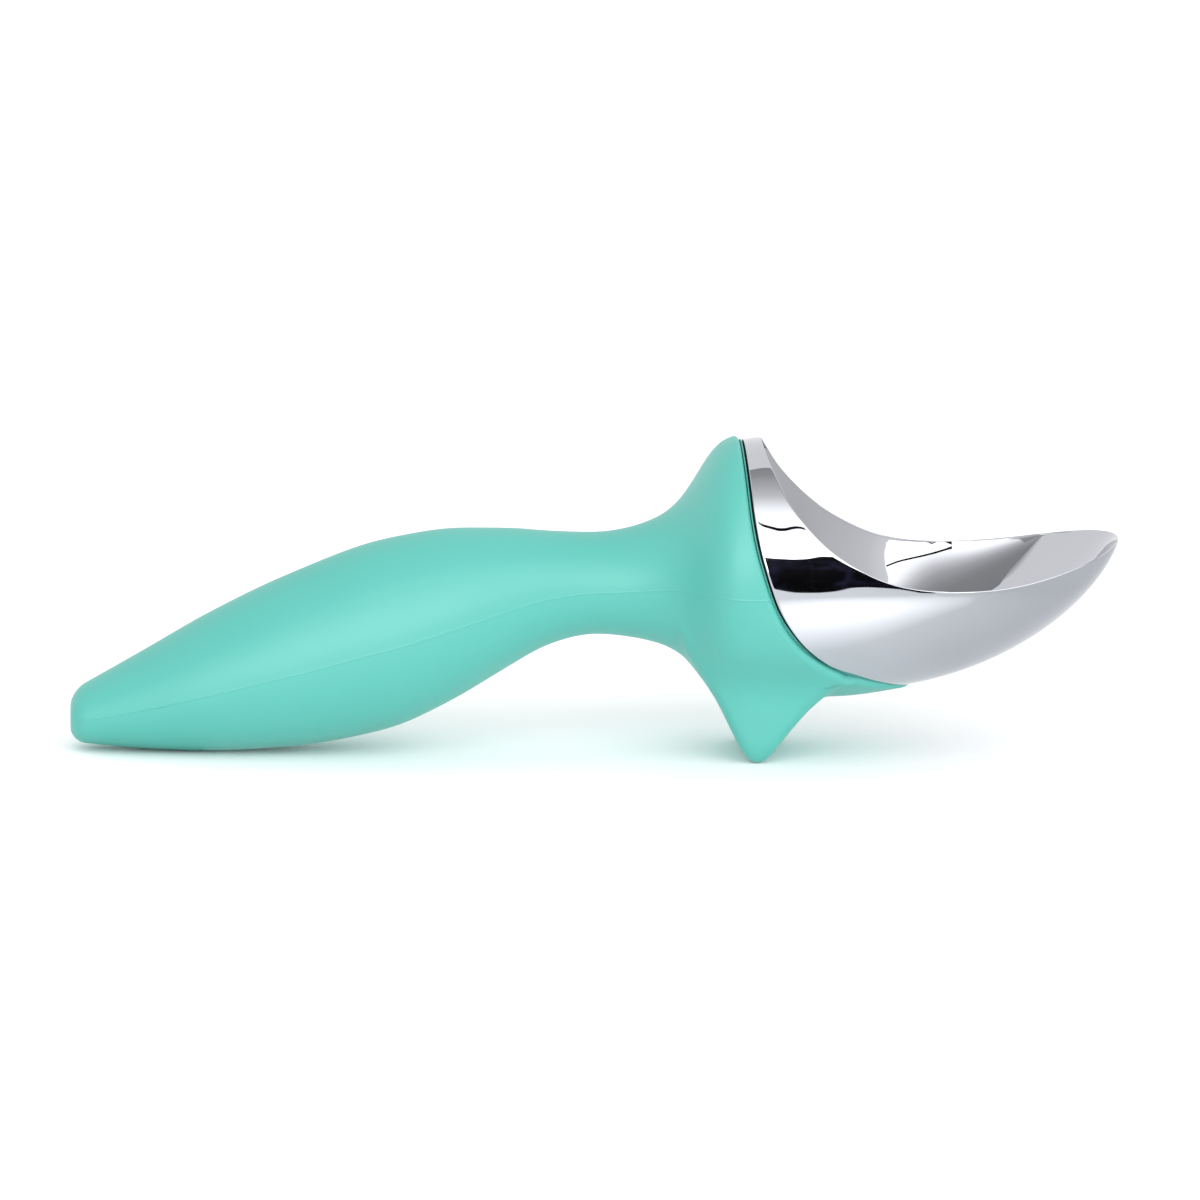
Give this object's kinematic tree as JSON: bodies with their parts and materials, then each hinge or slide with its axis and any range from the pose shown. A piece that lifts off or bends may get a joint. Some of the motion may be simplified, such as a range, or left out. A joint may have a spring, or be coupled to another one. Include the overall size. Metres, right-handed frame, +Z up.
{
  "type": "ice cream scoop",
  "caption": "Solid ice cream scoop with a pointed chrome bowl, a swelling moulded handle and a tilt-up foot under the neck that keeps the bowl off the table.",
  "frame": {"origin": "centre of the footprint on the table the scoop rests on", "axes": "+X along the scoop from the end of the grip to the tip of the bowl, +Z up, +Y to the left of someone who looks along +X"},
  "size_m": [0.2154, 0.0522, 0.0661],
  "materials": {
    "chrome": "polished plating with fine scratches",
    "nylon": "fine moulded texture, mint green",
    "seal": "matte, darker mint green",
    "core": "plain moulded, hidden",
    "steel": "drawn bar, hidden"
  },
  "bodies": {
    "root": {"scoop_bowl": "chrome", "rim_seal": "seal", "upper_shell": "nylon", "lower_shell": "nylon", "handle_core": "core", "tang_rod": "steel", "tang_pin": "steel", "dowel_left": "steel", "dowel_right": "steel", "rear_dowel": "steel"}
  },
  "joints": []
}
